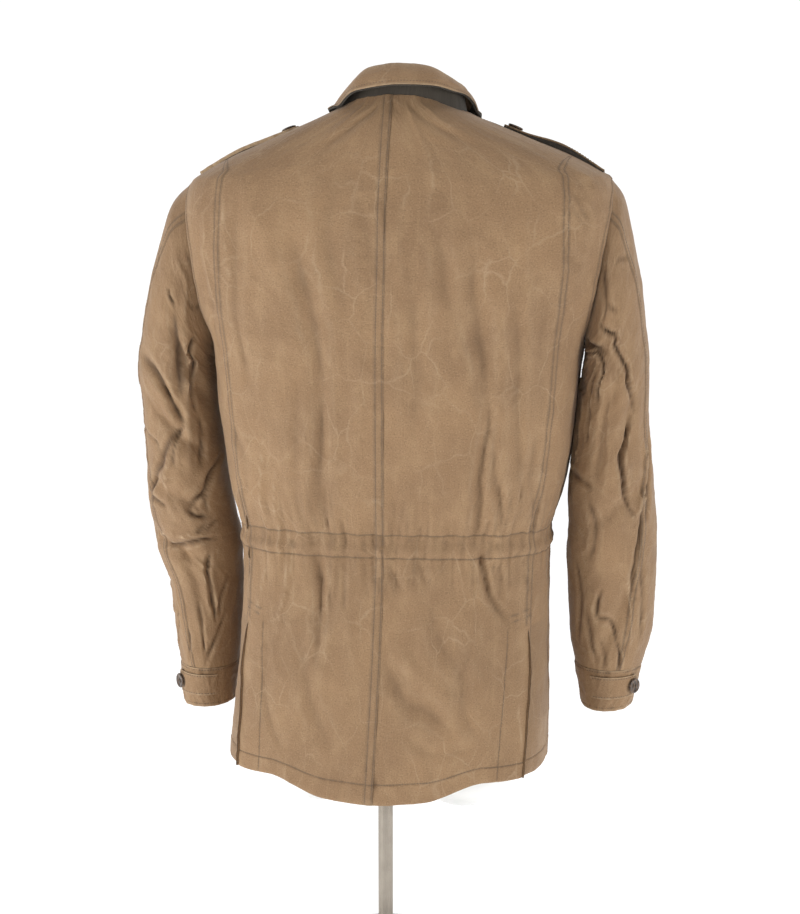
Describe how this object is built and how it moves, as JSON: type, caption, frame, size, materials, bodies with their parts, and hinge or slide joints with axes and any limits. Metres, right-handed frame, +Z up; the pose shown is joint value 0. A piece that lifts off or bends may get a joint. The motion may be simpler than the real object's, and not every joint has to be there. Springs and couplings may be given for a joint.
{
  "type": "parka on dress form",
  "caption": "Field parka of brown waxed cotton on a white limbless dress form with a steel pole and round base",
  "frame": {"origin": "on the floor under the middle of the whole, in the underside of the base plate", "axes": "+Z up; the parka faces -Y and its back faces +Y; the wearer's left is +X"},
  "size_m": [0.609, 0.3, 1.0824],
  "materials": {
    "waxed_cotton": "waxed, dry, lightly creased",
    "dark_cotton": "matt woven",
    "form_white": "smooth satin",
    "steel": "brushed",
    "horn_button": "polished"
  },
  "bodies": {
    "root": {"back_left": "waxed_cotton", "back_right": "waxed_cotton", "collar_fall": "waxed_cotton", "collar_stand": "dark_cotton", "collar_under": "dark_cotton", "cuff_button_left": "horn_button", "cuff_button_right": "horn_button", "cuff_left": "waxed_cotton", "cuff_right": "waxed_cotton", "cuff_tab_left": "waxed_cotton", "cuff_tab_right": "waxed_cotton", "form_torso": "form_white", "front_button_1": "horn_button", "front_button_2": "horn_button", "front_button_3": "horn_button", "front_button_4": "horn_button", "front_button_5": "horn_button", "front_left": "waxed_cotton", "front_placket": "waxed_cotton", "front_right": "waxed_cotton", "shoulder_button_left": "horn_button", "shoulder_button_right": "horn_button", "shoulder_strap_left": "waxed_cotton", "shoulder_strap_right": "waxed_cotton", "shoulder_strap_under_left": "dark_cotton", "shoulder_strap_under_right": "dark_cotton", "side_left": "waxed_cotton", "side_right": "waxed_cotton", "sleeve_under_left": "waxed_cotton", "sleeve_under_right": "waxed_cotton", "sleeve_upper_left": "waxed_cotton", "sleeve_upper_right": "waxed_cotton", "stand_base": "steel", "stand_pole": "steel", "vent_underlap_left": "waxed_cotton", "vent_underlap_right": "waxed_cotton"}
  },
  "joints": []
}
